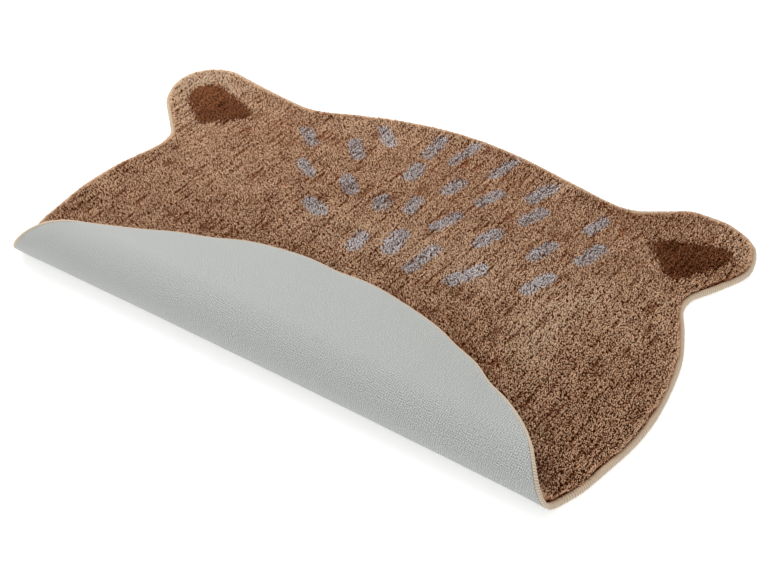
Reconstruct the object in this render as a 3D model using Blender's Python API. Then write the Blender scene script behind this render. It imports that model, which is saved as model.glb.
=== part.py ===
"""A child's rug in the outline of an animal's head, with its chin edge rolled up and turned back over the top.

Metres, +Z up. X runs from ear to ear, and the turned edge is at the front, towards -Y.
The origin is on the floor, under the middle of the folded rug.

Each piece is built flat in pattern coordinates: how far along the fold, how far across it, and how high
above the underside. One function then bends the pattern over the roll, so the pieces stay parallel.
"""

from collections import namedtuple
from math import acos, atan2, ceil, cos, hypot, pi, radians, sin

import bmesh
import bpy
from mathutils import Vector

Round = namedtuple("Round", "name x y radius")
Bend = namedtuple("Bend", "name degrees radius")
Corner = namedtuple("Corner", "inset height")

# Cloth thicknesses
BACKING_THICK = 0.0030
RUG_THICK = 0.0140
GAP = 0.0003

# Whipped edge: it stands beside the backing and laps over it
EDGE_WIDTH = 0.0090
EDGE_HEIGHT = 0.0086
EDGE_FOOT = 0.0037
EDGE_ROUND = 0.0022

# The flat outline is a belt drawn tight round these circles, anticlockwise from the chin.
# Y is measured from the top of the head. A negative radius is a hollow, which the belt passes outside.
OUTLINE = (
    Round("chin", 0.012, -0.409, 0.433),
    Round("right cheek", 0.119, -0.375, 0.344),
    Round("right ear root", 0.481, -0.210, -0.043),
    Round("right ear side", 0.427, -0.092, 0.074),
    Round("right ear top", 0.394, -0.062, 0.044),
    Round("right temple", 0.293, 0.005, -0.063),
    Round("crown", 0.004, -0.559, 0.557),
    Round("left temple", -0.254, 0.053, -0.107),
    Round("left ear top", -0.434, -0.090, 0.072),
    Round("left ear side", -0.428, -0.098, 0.075),
    Round("left ear root", -0.467, -0.242, -0.051),
    Round("left cheek", -0.125, -0.421, 0.331),
    Round("left jaw", -0.268, -0.492, 0.188),
)

# Section of the roll, on the underside, from where the rug leaves the floor
ROLL = (
    Bend("rise", 52, 0.047),
    Bend("front and top", 98, 0.038),
    Bend("fall towards the pile", 47, 0.045),
)

# Foremost line of the roll, at X = 0, and how far it is turned from the X axis
FRONT_Y = -0.591
FRONT_TURN = radians(-3.2)

# Share by which the roll grows for each metre along it, and for each metre squared
ROLL_LEAN = -0.245
ROLL_TAPER = -0.76

# How finely round shapes are cut, and the angle past which an edge is shaded sharp
OUTLINE_SAG = 0.0002
ROW_DEGREES = 10
COLUMN_SPACING = 0.070
SNAP = 1e-6
SHARP_ANGLE = radians(40)

CLOTH_ROUGHNESS = 0.95
PILE_COLOUR = (0.296, 0.165, 0.095, 1)
BACKING_COLOUR = (0.485, 0.497, 0.479, 1)
EDGE_COLOUR = (0.440, 0.366, 0.279, 1)


def clear_scene():
    for item in list(bpy.data.objects):
        bpy.data.objects.remove(item, do_unlink=True)


def belt_tangent(first, second):
    """Angle of the outward normal along the straight run that joins two circles."""
    across, up = second.x - first.x, second.y - first.y
    lean = (first.radius - second.radius) / hypot(across, up)
    return atan2(up, across) - acos(max(-1.0, min(1.0, lean)))


def belt_points():
    """Points of the flat outline, each with its outward normal: (x, y, normal x, normal y)."""
    runs = [belt_tangent(OUTLINE[i], OUTLINE[(i + 1) % len(OUTLINE)]) for i in range(len(OUTLINE))]
    points = []
    for i, circle in enumerate(OUTLINE):
        start = runs[i - 1]
        turn = (runs[i] - start + pi) % (2 * pi) - pi
        step = 2 * acos(1 - OUTLINE_SAG / abs(circle.radius))
        count = max(1, ceil(abs(turn) / step))
        for j in range(count + 1):
            angle = start + turn * j / count
            out = Vector((cos(angle), sin(angle)))
            at = Vector((circle.x, circle.y)) + out * circle.radius
            points.append((at.x, at.y, out.x, out.y))
    return points


def roll_section(distance):
    """Forward, up and slope of the underside, this far past the line where it leaves the floor."""
    forward = up = slope = 0.0
    for bend in ROLL:
        turn = min(max(distance, 0.0) / bend.radius, radians(bend.degrees))
        forward += bend.radius * (sin(slope + turn) - sin(slope))
        up += bend.radius * (cos(slope) - cos(slope + turn))
        slope += turn
        distance -= bend.radius * turn
    return forward + distance * cos(slope), up + distance * sin(slope), slope


def roll_rows():
    """Distances from the start of the roll at which the cloth gets a row of edges."""
    rows = [0.0]
    for bend in ROLL:
        count = ceil(bend.degrees / ROW_DEGREES)
        for _ in range(count):
            rows.append(rows[-1] + radians(bend.degrees) * bend.radius / count)
    return rows


def roll_reach():
    """How far the roll's front stands past the line where the rug leaves the floor."""
    return max(roll_section(row)[0] for row in roll_rows())


def roll_size(along):
    """Size of the roll at this place along it, as a share of the size given in ROLL."""
    return 1 + ROLL_LEAN * along + ROLL_TAPER * along**2


ALONG_FOLD = Vector((cos(FRONT_TURN), sin(FRONT_TURN)))
ACROSS_FOLD = Vector((sin(FRONT_TURN), -cos(FRONT_TURN)))
FRONT_MIDDLE = Vector((0.0, FRONT_Y))
REACH = roll_reach()


def to_pattern(x, y):
    """Place on the flat rug as along the fold, and across it from the start of the roll."""
    place = Vector((x, y)) - FRONT_MIDDLE
    along = place.dot(ALONG_FOLD)
    return along, place.dot(ACROSS_FOLD) / roll_size(along) + REACH


def bent(along, across, height):
    """Where a point of the pattern lies on the folded rug."""
    size = roll_size(along)
    forward, up, slope = roll_section(across)
    ahead = size * (forward - REACH) - height * sin(slope)
    place = FRONT_MIDDLE + ALONG_FOLD * along + ACROSS_FOLD * ahead
    return Vector((place.x, place.y, size * up + height * cos(slope)))


def add_loop(bm, inset, height=0.0):
    """Closed loop of points in the pattern, this far inside the outline."""
    loop = []
    for x, y, out_x, out_y in belt_points():
        along, across = to_pattern(x - inset * out_x, y - inset * out_y)
        loop.append(bm.verts.new((along, across, height)))
    return loop


def add_band(bm, inner, outer):
    """Band of faces between two loops."""
    for i in range(len(inner)):
        bm.faces.new((inner[i - 1], inner[i], outer[i], outer[i - 1]))


def cut(bm, faces, at, normal):
    """Adds edges where a plane of the pattern crosses these faces."""
    edges = {edge for face in faces for edge in face.edges}
    verts = {vert for face in faces for vert in face.verts}
    geometry = list(verts) + list(edges) + list(faces)
    bmesh.ops.bisect_plane(bm, geom=geometry, dist=SNAP, plane_co=at, plane_no=normal)


def cut_rows(bm):
    """Rows of edges across the fold, close enough to bend smoothly over the roll."""
    for row in roll_rows():
        cut(bm, bm.faces[:], (0, row, 0), (0, 1, 0))


def cut_columns(bm):
    """Columns of edges along the turned part, which changes size from one end to the other."""
    reach = max(abs(vert.co.x) for vert in bm.verts)
    count = int(reach / COLUMN_SPACING)
    for i in range(-count, count + 1):
        turned = [face for face in bm.faces if face.calc_center_median().y > 0]
        cut(bm, turned, (i * COLUMN_SPACING, 0, 0), (1, 0, 0))


def finish_piece(bm, name, colour):
    """Bends the pattern, and makes it a shaded object with its own material."""
    for vert in bm.verts:
        vert.co = bent(*vert.co)
    bmesh.ops.recalc_face_normals(bm, faces=bm.faces[:])
    if bm.calc_volume(signed=True) < 0:
        bmesh.ops.reverse_faces(bm, faces=bm.faces[:])
    mesh = bpy.data.meshes.new(name)
    bm.to_mesh(mesh)
    bm.free()
    material = bpy.data.materials.new(name)
    material.use_nodes = True
    shader = material.node_tree.nodes["Principled BSDF"]
    shader.inputs["Base Color"].default_value = colour
    shader.inputs["Roughness"].default_value = CLOTH_ROUGHNESS
    shader.inputs["Metallic"].default_value = 0.0
    mesh.materials.append(material)
    mesh.shade_smooth()
    mesh.set_sharp_from_angle(angle=SHARP_ANGLE)
    item = bpy.data.objects.new(name, mesh)
    bpy.context.scene.collection.objects.link(item)
    return item


def make_cloth(name, insets, low, high, colour):
    """A layer of cloth between two heights. The first inset is its core, and each further one adds a rim."""
    bm = bmesh.new()
    loop = add_loop(bm, insets[0])
    bm.faces.new(loop)
    for inset in insets[1:]:
        outer = add_loop(bm, inset)
        add_band(bm, loop, outer)
        loop = outer
    cut_rows(bm)
    cut_columns(bm)
    bmesh.ops.triangulate(bm, faces=bm.faces[:])
    lower = bm.verts[:]
    raised = bmesh.ops.extrude_face_region(bm, geom=bm.faces[:])["geom"]
    for vert in lower:
        vert.co.z = low
    for vert in raised:
        if isinstance(vert, bmesh.types.BMVert):
            vert.co.z = high
    return finish_piece(bm, name, colour)


def edge_section():
    """Corners of the whipped edge's section, from its foot round the outside to the lap over the backing."""
    lap = BACKING_THICK + GAP
    return (
        Corner(EDGE_FOOT, 0.0),
        Corner(EDGE_ROUND, 0.0),
        Corner(0.0, EDGE_ROUND),
        Corner(0.0, EDGE_HEIGHT - EDGE_ROUND),
        Corner(EDGE_ROUND, EDGE_HEIGHT),
        Corner(EDGE_WIDTH - EDGE_ROUND, EDGE_HEIGHT),
        Corner(EDGE_WIDTH, EDGE_HEIGHT - EDGE_ROUND),
        Corner(EDGE_WIDTH, lap),
        Corner(EDGE_FOOT, lap),
    )


def make_edge(name, colour):
    """The whipped edge, one closed ring of its section carried round the outline."""
    bm = bmesh.new()
    loops = [add_loop(bm, corner.inset, corner.height) for corner in edge_section()]
    for i, loop in enumerate(loops):
        add_band(bm, loops[i - 1], loop)
    cut_rows(bm)
    cut_columns(bm)
    return finish_piece(bm, name, colour)


def centre_on_floor(items):
    """Moves the finished meshes so that the origin is on the floor under their middle."""
    corners = [vert.co for item in items for vert in item.data.vertices]
    middle_x = (min(corner.x for corner in corners) + max(corner.x for corner in corners)) / 2
    middle_y = (min(corner.y for corner in corners) + max(corner.y for corner in corners)) / 2
    for item in items:
        for vert in item.data.vertices:
            vert.co -= Vector((middle_x, middle_y, 0.0))


def main():
    clear_scene()
    backing_inset = EDGE_FOOT + GAP
    pile_inset = EDGE_WIDTH + GAP
    backing = make_cloth(
        "backing_cloth", (pile_inset, backing_inset), 0.0, BACKING_THICK, BACKING_COLOUR
    )
    pile = make_cloth("pile_cloth", (pile_inset,), BACKING_THICK + GAP, RUG_THICK, PILE_COLOUR)
    edge = make_edge("edge_binding", EDGE_COLOUR)
    centre_on_floor((backing, pile, edge))


main()
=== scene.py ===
"""Looks of a child's rug in the outline of an animal's head, its chin edge rolled up and turned back.

The frame's solids hold the rug's shape. This script lays the finish of the real one over the same fold:
a woven backing, a tufted cut pile in three yarns, and a whipped yarn edge.

Each piece is laid out flat, in pattern coordinates: how far along the fold, how far across it, and how
high above the underside. One function then bends it over the roll, so the pieces stay parallel.
"""

from collections import namedtuple
from math import acos, atan2, ceil, cos, hypot, pi, radians, sin

import bmesh
import bpy
import numpy as np
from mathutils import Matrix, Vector, noise


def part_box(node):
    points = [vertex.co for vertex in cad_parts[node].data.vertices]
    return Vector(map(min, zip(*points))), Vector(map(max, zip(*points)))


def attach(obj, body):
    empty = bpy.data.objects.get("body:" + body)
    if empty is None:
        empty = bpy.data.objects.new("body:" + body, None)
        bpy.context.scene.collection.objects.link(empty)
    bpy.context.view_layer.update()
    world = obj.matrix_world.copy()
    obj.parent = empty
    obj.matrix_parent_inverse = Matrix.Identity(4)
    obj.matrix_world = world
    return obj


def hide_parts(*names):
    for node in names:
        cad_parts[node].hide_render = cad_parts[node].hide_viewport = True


bl_info = {
    "name": "Kids rug with a turned edge",
    "version": (1, 0, 0),
    "blender": (4, 5, 0),
    "location": "3D View > Sidebar > Rug",
    "description": "Tufted pile, woven backing and whipped edge of a kids rug",
    "category": "Object",
}

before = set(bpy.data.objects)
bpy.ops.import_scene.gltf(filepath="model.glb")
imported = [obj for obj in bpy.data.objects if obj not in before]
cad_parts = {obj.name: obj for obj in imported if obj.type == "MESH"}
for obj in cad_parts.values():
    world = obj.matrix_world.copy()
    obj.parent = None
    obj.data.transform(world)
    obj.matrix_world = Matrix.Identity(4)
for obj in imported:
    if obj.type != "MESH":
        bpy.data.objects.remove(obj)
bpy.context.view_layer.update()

MM = 0.001
CM = 0.01

Round = namedtuple("Round", "name x y radius")
Bend = namedtuple("Bend", "name degrees radius")
Dash = namedtuple("Dash", "x y length width lean")
SheenAndShadePatch = namedtuple("SheenAndShadePatch", "name x y size_x size_y lighter")
Wave = namedtuple("Wave", "name along reach drawn_in lift")
Curl = namedtuple("Curl", "name degrees rise")
Pull = namedtuple("Pull", "name x y reach shift_x shift_y")
Corner = namedtuple("Corner", "inset height rib")
Cloud = namedtuple("Cloud", "size_x size_y layer weight")
Tufts = namedtuple("Tufts", "x y top width turn lean_x lean_y tone")
Template = namedtuple("Template", "corners loops starts strands bake")

# The flat outline is a belt drawn tight round these circles, anticlockwise from the chin.
# Y is measured from the top of the head. A negative radius is a hollow, which the belt passes outside.
OUTLINE = (
    Round("chin", 0.012, -0.409, 0.433),
    Round("right cheek", 0.119, -0.375, 0.344),
    Round("right ear root", 0.481, -0.210, -0.043),
    Round("right ear side", 0.427, -0.092, 0.074),
    Round("right ear top", 0.394, -0.062, 0.044),
    Round("right temple", 0.293, 0.005, -0.063),
    Round("crown", 0.004, -0.559, 0.557),
    Round("left temple", -0.254, 0.053, -0.107),
    Round("left ear top", -0.434, -0.090, 0.072),
    Round("left ear side", -0.428, -0.098, 0.075),
    Round("left ear root", -0.467, -0.242, -0.051),
    Round("left cheek", -0.125, -0.421, 0.331),
    Round("left jaw", -0.268, -0.492, 0.188),
)

# The dark patches inside the ears
RIGHT_EAR_PATCH = (
    Round("lower corner", 0.407, -0.160, 0.015),
    Round("outer corner", 0.451, -0.096, 0.021),
    Round("inner corner", 0.383, -0.117, 0.023),
)
LEFT_EAR_PATCH = (
    Round("lower corner", -0.396, -0.152, 0.021),
    Round("inner corner", -0.345, -0.118, 0.016),
    Round("outer corner", -0.429, -0.102, 0.036),
)

# Short dashes scattered over the forehead, charted in centimetres.
# Lean is the angle in degrees from the head's middle line towards the right ear.
DASHES = (
    Dash(-21.5, -12.0, 6.0, 2.4, -50),
    Dash(-13.0, -11.5, 6.0, 2.8, -40),
    Dash(-10.0, -6.5, 6.0, 2.3, -45),
    Dash(-2.0, -5.5, 6.5, 2.3, 5),
    Dash(3.0, -5.0, 7.0, 2.0, 20),
    Dash(10.0, -5.5, 6.5, 2.1, 20),
    Dash(17.5, -8.5, 6.5, 2.6, 25),
    Dash(27.5, -11.5, 5.5, 2.2, 25),
    Dash(-17.5, -19.5, 5.5, 2.2, -55),
    Dash(-9.5, -20.0, 5.5, 2.8, -45),
    Dash(-2.0, -12.5, 5.5, 2.8, 0),
    Dash(5.0, -13.0, 5.5, 2.4, 15),
    Dash(11.0, -13.0, 6.0, 2.1, 25),
    Dash(18.5, -14.0, 6.0, 2.3, 25),
    Dash(29.0, -18.0, 6.5, 2.4, 20),
    Dash(-11.5, -27.0, 5.5, 2.8, -60),
    Dash(-3.0, -21.5, 4.5, 3.0, -5),
    Dash(1.5, -20.0, 5.0, 2.4, 0),
    Dash(7.5, -21.0, 6.5, 2.1, 25),
    Dash(14.5, -21.5, 6.0, 2.5, 25),
    Dash(22.5, -20.5, 6.0, 2.2, 25),
    Dash(-2.0, -31.0, 5.0, 2.6, 0),
    Dash(3.0, -28.5, 6.5, 2.9, 0),
    Dash(8.0, -30.0, 7.5, 2.2, 15),
    Dash(15.0, -30.0, 7.5, 2.5, 35),
    Dash(24.5, -27.0, 6.5, 2.3, 25),
)

# Patches where the pile's colour is painted lighter or darker, in centimetres: a painted sheen and shade
# where it was brushed towards the light or away from it, and the turned part's painted shadow beside its
# free edge and in the fold's end.
# Size is the distance from the middle at which a patch has faded to about a third.
SHEEN_AND_SHADE_PATCHES = (
    SheenAndShadePatch("left ear", -44.0, -8.0, 8.0, 6.0, 1.10),
    SheenAndShadePatch("left ear, top", -46.5, -5.5, 4.0, 3.0, 0.45),
    SheenAndShadePatch("left ear root", -40.0, -17.5, 5.0, 4.0, 0.28),
    SheenAndShadePatch("left temple", -34.0, -6.5, 7.0, 4.0, 0.04),
    SheenAndShadePatch("below the left temple", -31.0, -16.0, 8.0, 3.0, -0.12),
    SheenAndShadePatch("left of the face", -28.0, -26.0, 8.0, 4.0, 0.20),
    SheenAndShadePatch("left, low", -19.0, -31.0, 8.0, 4.0, -0.20),
    SheenAndShadePatch("left jaw", -28.0, -38.0, 14.0, 4.0, -0.16),
    SheenAndShadePatch("left end", -43.0, -47.0, 6.0, 4.0, -0.26),
    SheenAndShadePatch("beside the left temple", -25.0, -3.5, 4.5, 2.5, -0.36),
    SheenAndShadePatch("left brow", -12.5, -6.0, 5.0, 4.0, 0.40),
    SheenAndShadePatch("crown, rim", -6.0, -1.0, 14.0, 1.8, 0.36),
    SheenAndShadePatch("left of the middle", -13.0, -23.0, 4.0, 4.0, -0.18),
    SheenAndShadePatch("middle", -5.0, -29.5, 10.0, 4.0, 0.50),
    SheenAndShadePatch("below the middle", -8.0, -35.0, 4.0, 3.0, -0.26),
    SheenAndShadePatch("right of the middle", 14.0, -28.0, 10.0, 6.0, 0.52),
    SheenAndShadePatch("below the right brow", 30.0, -26.5, 6.0, 4.0, 0.44),
    SheenAndShadePatch("right cheek", 28.0, -36.5, 4.0, 7.0, 0.90),
    # Painted shadow of the turned part on the pile beside its free edge, in these three patches
    SheenAndShadePatch("beside the turned edge", 12.0, -40.0, 6.0, 3.0, -0.36),
    SheenAndShadePatch("beside its lower part", 19.0, -43.5, 3.0, 2.5, -0.30),
    SheenAndShadePatch("beside its right end", 23.0, -45.5, 4.0, 4.0, -0.60),
    SheenAndShadePatch("right brow", 13.0, -6.0, 5.0, 4.0, -0.16),
    SheenAndShadePatch("crown, right", 20.0, -5.0, 5.0, 3.0, 0.40),
    SheenAndShadePatch("right temple", 29.0, -6.0, 5.0, 3.5, -0.36),
    SheenAndShadePatch("right ear root", 38.0, -6.0, 7.0, 4.0, -0.26),
    SheenAndShadePatch("right ear", 47.0, -6.0, 4.0, 4.0, 0.44),
    SheenAndShadePatch("right ear, lower side", 47.5, -14.0, 5.0, 2.5, -0.40),
    SheenAndShadePatch("right side", 41.0, -29.0, 6.0, 6.0, 0.24),
    SheenAndShadePatch("right jaw", 40.0, -38.0, 4.0, 4.0, -0.14),
    SheenAndShadePatch("lower right", 44.0, -46.0, 4.0, 5.0, 0.18),
    # Painted shadow in the fold's end
    SheenAndShadePatch("in the fold's end", 36.0, -58.0, 3.0, 3.0, -0.10),
)

# Share of a dash's charted width that its yarn fills, as its rim tufts are mixed with the field's
DASH_FILL = 0.9

# Section of the roll, on the underside, from where the rug leaves the floor
ROLL = (
    Bend("rise", 52, 0.047),
    Bend("front and top", 98, 0.038),
    Bend("fall towards the pile", 47, 0.045),
)
ROLL_LENGTH = sum(radians(bend.degrees) * bend.radius for bend in ROLL)

# Foremost line of the roll, at X = 0, and how far it is turned from the X axis
FRONT_Y = -0.591
FRONT_TURN = radians(-3.2)

# Share by which the roll grows for each metre along it, and for each metre squared
ROLL_LEAN = -0.245
ROLL_TAPER = -0.76

# Where the free edge of the turned part lies uneven: drawn in and lifted by these millimetres
WAVES = (
    Wave("left end", -0.375, 0.032, -3.0, 3.0),
    Wave("left droop", -0.262, 0.052, 5.5, -2.0),
    Wave("left dent", -0.193, 0.034, 6.0, -2.2),
    Wave("middle dent", -0.010, 0.035, 4.0, -2.0),
    Wave("right of the middle", 0.120, 0.060, 2.0, -1.0),
    Wave("right dent", 0.200, 0.032, 5.0, -1.8),
    Wave("lower right dent", 0.262, 0.024, 7.0, -2.2),
    Wave("right end", 0.335, 0.030, -5.0, 1.0),
)
WAVE_DEPTH = 80 * MM
WAVE_START = 30 * MM

# The fold's right end, where the cloth is creased and its edge drawn in: place in the pattern and size
CREASE_ALONG = 0.405
CREASE_ACROSS = 0.015
CREASE_REACH = 0.032
CREASE_DRAWN_IN = 6.5 * MM

# The rim away from the fold curls up off the floor by these millimetres. Degrees run anticlockwise from
# the right, round a point in the middle of the head.
CURLS = (
    Curl("right ear, side", 28, 0.0),
    Curl("right ear, round", 31, 3.8),
    Curl("right ear, dip", 35, 3.4),
    Curl("right ear, top", 39, 6.2),
    Curl("right ear, inner side", 43, 6.2),
    Curl("right temple", 48, 4.8),
    Curl("crown, right", 55, 5.4),
    Curl("crown, right of the middle", 66, 4.5),
    Curl("crown, middle", 90, 5.1),
    Curl("crown, left", 115, 3.8),
    Curl("left temple", 127, 5.0),
    Curl("left ear, top", 142, 5.4),
    Curl("left ear, round", 151, 3.0),
    Curl("left ear, side", 156, 0.8),
    Curl("left ear root", 161, 0.9),
    Curl("left cheek, top", 164, 4.0),
    Curl("left cheek", 196, 4.0),
    Curl("left end of the fold", 201, 0.0),
)
CURL_MIDDLE_Y = -0.350
CURL_DEPTH = 80 * MM
CURL_OUT = 1.0

# Where the outline of the flat part is pulled out of its even shape, in millimetres
PULLS = (
    Pull("right cheek", 0.455, -0.297, 0.050, 5.0, 0.0),
    Pull("right ear root", 0.440, -0.225, 0.015, -2.5, 0.0),
    Pull("right ear, lower side", 0.490, -0.135, 0.030, -3.0, 2.0),
    Pull("fold's right end", 0.406, -0.590, 0.025, 0.0, -4.0),
)

# Layers of the rug, as insets from the outline and heights above the underside
BACKING_INSET = 5.0 * MM
BACKING_TOP = 3.0 * MM
PILE_INSET = 9.3 * MM
GROUND_FOOT = 3.3 * MM
GROUND_TOP = 6.0 * MM
TUFT_FOOT = 4.6 * MM

# Section of the whipped edge in millimetres, from its foot round the outside to its lap over the backing.
# Rib is the share of a yarn turn's height that stands out there.
EDGE_SECTION = (
    Corner(4.7, 0.4, 0.0),
    Corner(3.4, 0.3, 0.6),
    Corner(1.8, 0.4, 0.7),
    Corner(0.5, 1.2, 0.9),
    Corner(0.0, 3.1, 1.0),
    Corner(0.4, 5.4, 1.0),
    Corner(1.9, 7.2, 1.0),
    Corner(4.2, 7.9, 1.0),
    Corner(6.8, 7.6, 1.0),
    Corner(8.6, 6.3, 0.7),
    Corner(9.0, 3.3, 0.0),
    Corner(4.7, 3.3, 0.0),
)

# On the turned part the whipped edge is pressed thinner above its lap over the backing
EDGE_LAP = 3.3 * MM
EDGE_PRESSED = 0.5
PRESSED_FROM = 10 * MM
PRESSED_TO = 50 * MM

# Soft random fields: the size of their patches, a number that sets each field apart, and its weight
RIPPLES = Cloud(60 * MM, 30 * MM, 1.0, 1.0)
SMALL_RIPPLES = Cloud(25 * MM, 20 * MM, 2.0, 0.5)
LEAN_SIDEWAYS = Cloud(30 * MM, 45 * MM, 3.0, 1.0)
LEAN_BY_ROW = Cloud(7 * MM, 26 * MM, 4.0, 0.8)
LEAN_AWAY = Cloud(34 * MM, 40 * MM, 5.0, 1.0)
TONES = Cloud(60 * MM, 85 * MM, 6.0, 0.10)
SMALL_TONES = Cloud(20 * MM, 30 * MM, 7.0, 0.17)
PARTINGS = Cloud(5 * MM, 45 * MM, 8.0, 3.0)

# How far a straight stretch may run inside a curve: for shapes that show, for tests, and for even steps
SHAPE_SAG = 0.2 * MM
TEST_SAG = 0.5 * MM
FINE_SAG = 0.02 * MM

ROLL_SAMPLES = 400
SHARP_ANGLE = radians(40)
SNAP = 1e-6


def linear(hex_colour):
    """Linear colour of an sRGB hex value such as #A08060."""
    shares = [int(hex_colour[i : i + 2], 16) / 255 for i in (1, 3, 5)]
    return tuple(s / 12.92 if s <= 0.04045 else ((s + 0.055) / 1.055) ** 2.4 for s in shares)


# Outline and fold

def belt_tangent(first, second):
    """Angle of the outward normal along the straight run that joins two circles."""
    across, up = second.x - first.x, second.y - first.y
    lean = (first.radius - second.radius) / hypot(across, up)
    return atan2(up, across) - acos(max(-1.0, min(1.0, lean)))


def belt_points(rounds, sag):
    """Points of a belt round some circles, each with its outward normal: x, y, normal x, normal y."""
    runs = [belt_tangent(rounds[i], rounds[(i + 1) % len(rounds)]) for i in range(len(rounds))]
    points = []
    for i, circle in enumerate(rounds):
        start = runs[i - 1]
        turn = (runs[i] - start + pi) % (2 * pi) - pi
        step = 2 * acos(1 - sag / abs(circle.radius))
        count = max(1, ceil(abs(turn) / step))
        for angle in np.linspace(start, start + turn, count + 1):
            out = Vector((cos(angle), sin(angle)))
            at = Vector((circle.x, circle.y)) + out * circle.radius
            points.append((*at, *out))
    return np.array(points)


def inset_loop(inset, sag=SHAPE_SAG):
    """Loop of points on the flat rug, this far inside its outline."""
    belt = belt_points(OUTLINE, sag)
    return belt[:, :2] - inset * belt[:, 2:]


def inside(x, y, loop):
    """Which points lie inside a loop, by counting the edges that a ray from each point crosses."""
    start_x, start_y = loop.T
    end_x, end_y = np.roll(loop, -1, axis=0).T
    crosses = (start_y > y[:, None]) != (end_y > y[:, None])
    rise = np.where(end_y == start_y, 1.0, end_y - start_y)
    at = start_x + (y[:, None] - start_y) * (end_x - start_x) / rise
    return (crosses & (x[:, None] < at)).sum(axis=1) % 2 == 1


def roll_section(distance):
    """Forward, up and slope of the underside, this far past the line where it leaves the floor."""
    forward, up, slope = (np.zeros_like(distance) for _ in range(3))
    for bend in ROLL:
        turn = np.clip(distance / bend.radius, 0.0, radians(bend.degrees))
        forward = forward + bend.radius * (np.sin(slope + turn) - np.sin(slope))
        up = up + bend.radius * (np.cos(slope) - np.cos(slope + turn))
        slope = slope + turn
        distance = distance - bend.radius * turn
    return forward + distance * np.cos(slope), up + distance * np.sin(slope), slope


def roll_size(along):
    """Size of the roll at this place along it, as a share of the size given in ROLL."""
    return 1 + ROLL_LEAN * along + ROLL_TAPER * along**2


ALONG_FOLD = np.array((cos(FRONT_TURN), sin(FRONT_TURN)))
ACROSS_FOLD = np.array((sin(FRONT_TURN), -cos(FRONT_TURN)))
REACH = roll_section(np.linspace(0.0, ROLL_LENGTH, ROLL_SAMPLES))[0].max()


def to_pattern(x, y):
    """Place on the flat rug as along the fold, and across it from the start of the roll."""
    along = x * ALONG_FOLD[0] + (y - FRONT_Y) * ALONG_FOLD[1]
    ahead = x * ACROSS_FOLD[0] + (y - FRONT_Y) * ACROSS_FOLD[1]
    return along, ahead / roll_size(along) + REACH


def plan_at(along, ahead):
    """X and Y of a place, from how far it is along the roll's foremost line and how far ahead of it."""
    x = along * ALONG_FOLD[0] + ahead * ACROSS_FOLD[0]
    return x, FRONT_Y + along * ALONG_FOLD[1] + ahead * ACROSS_FOLD[1]


def to_plan(along, across):
    """Place of the pattern on the flat rug."""
    return plan_at(along, (across - REACH) * roll_size(along))


def frame_shift():
    """How far the outline's own origin lies from the frame's, found from the edge of the flat part."""
    low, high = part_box("edge_binding")
    outline = inset_loop(0.0)
    middle_x = (outline[:, 0].min() + outline[:, 0].max() - low[0] - high[0]) / 2
    return middle_x, outline[:, 1].max() - high[1]


MIDDLE_X, MIDDLE_Y = frame_shift()


def turned_outline():
    """The outline's turned stretch in the pattern, from its left end to its right end."""
    along, across = to_pattern(*inset_loop(0.0).T)
    along, across = along[across > 0], across[across > 0]
    order = np.argsort(along)
    return along[order], across[order]


TURNED_ALONG, TURNED_ACROSS = turned_outline()


def edge_waves(along, across):
    """How far each point is drawn in and lifted by the waves of the turned part's free edge."""
    to_edge = np.interp(along, TURNED_ALONG, TURNED_ACROSS) - across
    share = np.clip(1 - to_edge / WAVE_DEPTH, 0.0, 1.0) * np.clip(across / WAVE_START, 0.0, 1.0)
    share = share**2 * (3 - 2 * share)
    bells = [np.exp(-(((along - wave.along) / wave.reach) ** 2)) for wave in WAVES]
    drawn_in = sum(wave.drawn_in * MM * bell for wave, bell in zip(WAVES, bells))
    lift = sum(wave.lift * MM * bell for wave, bell in zip(WAVES, bells))
    return share * drawn_in, share * lift


def outline_around():
    """The outline as its distance from the middle of the head, at rising degrees round that point."""
    x, y = inset_loop(0.0).T
    around = np.degrees(np.arctan2(y - CURL_MIDDLE_Y, x)) % 360
    order = np.argsort(around)
    return around[order], np.hypot(x, y - CURL_MIDDLE_Y)[order]


OUTLINE_DEGREES, OUTLINE_RADIUS = outline_around()


def uneven_rim(x, y):
    """How far each point of the flat rug is moved by the curl of its rim and the pulls: x, y and up."""
    radius = np.maximum(np.hypot(x, y - CURL_MIDDLE_Y), SNAP)
    around = np.degrees(np.arctan2(y - CURL_MIDDLE_Y, x)) % 360
    to_edge = np.interp(around, OUTLINE_DEGREES, OUTLINE_RADIUS, period=360) - radius
    share = np.clip(1 - to_edge / CURL_DEPTH, 0.0, 1.0) ** 2
    rises = [curl.rise * MM for curl in CURLS]
    rise = share * np.interp(around, [curl.degrees for curl in CURLS], rises)
    out = CURL_OUT * rise / radius
    shift_x, shift_y = out * x, out * (y - CURL_MIDDLE_Y)
    for pull in PULLS:
        bell = np.exp(-((x - pull.x) ** 2 + (y - pull.y) ** 2) / pull.reach**2)
        shift_x = shift_x + pull.shift_x * MM * bell
        shift_y = shift_y + pull.shift_y * MM * bell
    return shift_x, shift_y, rise


def bent(along, across, height):
    """Places in the frame of points of the pattern, once it is bent over the roll."""
    shift_x, shift_y, rise = uneven_rim(*to_plan(along, across))
    creased = np.hypot(along - CREASE_ALONG, across - CREASE_ACROSS) / CREASE_REACH
    along = along - CREASE_DRAWN_IN * np.exp(-(creased**2))
    size = roll_size(along)
    drawn_in, lift = edge_waves(along, across)
    height = height - lift
    forward, up, slope = roll_section(across - drawn_in)
    ahead = size * (forward - REACH) - height * np.sin(slope)
    x, y = plan_at(along, ahead)
    z = size * up + height * np.cos(slope) + rise
    return np.stack((x - MIDDLE_X + shift_x, y - MIDDLE_Y + shift_y, z), axis=-1)


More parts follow.
